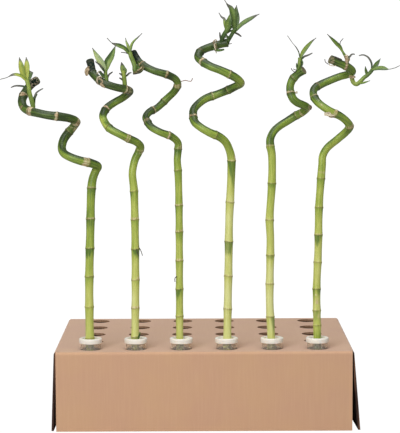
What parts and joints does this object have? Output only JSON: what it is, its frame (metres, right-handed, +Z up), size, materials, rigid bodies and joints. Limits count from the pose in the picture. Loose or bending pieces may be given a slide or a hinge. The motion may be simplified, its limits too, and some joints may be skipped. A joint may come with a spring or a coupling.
{
  "type": "lucky bamboo plant",
  "caption": "Spiral-trained lucky bamboo stalks with leafy shoots, each in a clear tube of water with a white collar, standing in the front row of a punched board stand.",
  "frame": {"origin": "middle of the whole object's box, on the surface it stands on", "axes": "+Z up along the stalks, +X to the right along the stand's long front, -Y out of the front"},
  "size_m": [0.531, 0.3008, 0.5793],
  "materials": {
    "board": "matte brown corrugated board",
    "clear_plastic": "clear, polished",
    "water": "clear water",
    "collar": "soft white moulded plastic",
    "stalk": "satin green stem with pale rings",
    "shoot": "satin green leaf"
  },
  "bodies": {
    "root": {"stand": "board", "tube_1": "clear_plastic", "water_1": "water", "collar_1": "collar", "stalk_1": "stalk", "shoot_1": "shoot", "tube_2": "clear_plastic", "water_2": "water", "collar_2": "collar", "stalk_2": "stalk", "shoot_2a": "shoot", "shoot_2b": "shoot", "tube_3": "clear_plastic", "water_3": "water", "collar_3": "collar", "stalk_3": "stalk", "shoot_3": "shoot", "tube_4": "clear_plastic", "water_4": "water", "collar_4": "collar", "stalk_4": "stalk", "shoot_4a": "shoot", "shoot_4b": "shoot", "tube_5": "clear_plastic", "water_5": "water", "collar_5": "collar", "stalk_5": "stalk", "shoot_5": "shoot", "tube_6": "clear_plastic", "water_6": "water", "collar_6": "collar", "stalk_6": "stalk", "shoot_6a": "shoot", "shoot_6b": "shoot"}
  },
  "joints": []
}
